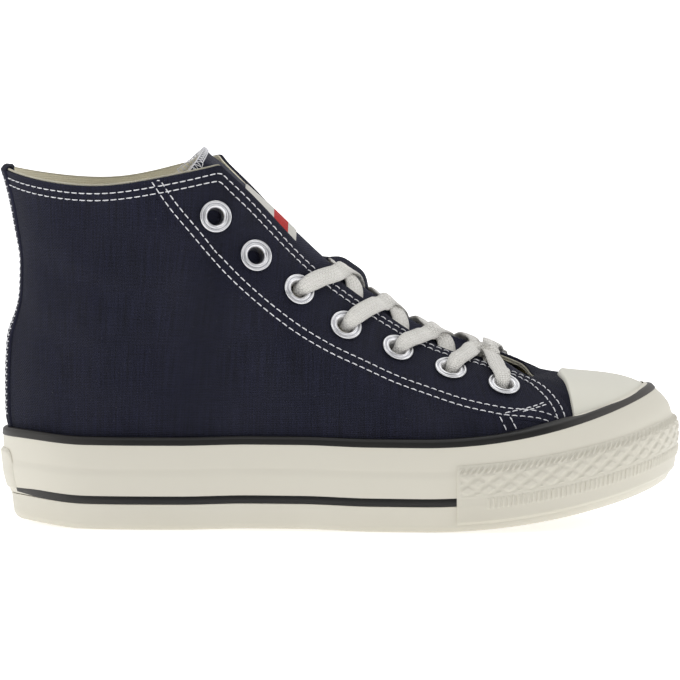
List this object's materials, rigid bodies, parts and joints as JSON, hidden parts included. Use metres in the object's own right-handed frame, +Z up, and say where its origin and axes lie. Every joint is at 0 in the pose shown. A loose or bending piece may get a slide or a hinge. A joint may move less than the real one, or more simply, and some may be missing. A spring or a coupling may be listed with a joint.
{
  "type": "canvas high-top sneaker",
  "caption": "Right-foot high-top canvas sneaker with a laced throat, loose tongue, rubber toe cap and thick platform sole.",
  "frame": {"origin": "centre of the shoe's outline on the floor that it stands on", "axes": "+X from heel to toe, +Z up from the floor, -Y to the lateral (little-toe) side"},
  "size_m": [0.2675, 0.099, 0.1495],
  "materials": {
    "rubber": "satin off-white moulded rubber",
    "canvas": "navy woven cotton canvas with a cream lining",
    "lining": "cream cotton twill",
    "cotton": "off-white flat woven cotton lace",
    "nickel": "nickel-plated pressed metal"
  },
  "bodies": {
    "root": {"outsole": "rubber", "foxing": "rubber", "toe_bumper": "rubber", "heel_label": "rubber", "toe_cap": "rubber", "insole": "lining", "upper": "canvas", "tongue": "canvas", "eyelet_lateral_1": "nickel", "eyelet_lateral_2": "nickel", "eyelet_lateral_3": "nickel", "eyelet_lateral_4": "nickel", "eyelet_lateral_5": "nickel", "eyelet_lateral_6": "nickel", "eyelet_lateral_7": "nickel", "eyelet_medial_1": "nickel", "eyelet_medial_2": "nickel", "eyelet_medial_3": "nickel", "eyelet_medial_4": "nickel", "eyelet_medial_5": "nickel", "eyelet_medial_6": "nickel", "eyelet_medial_7": "nickel", "lace_bar": "cotton", "lace_crossing_3": "cotton", "lace_crossing_4": "cotton", "lace_crossing_5": "cotton", "lace_crossing_6": "cotton"}
  },
  "joints": []
}
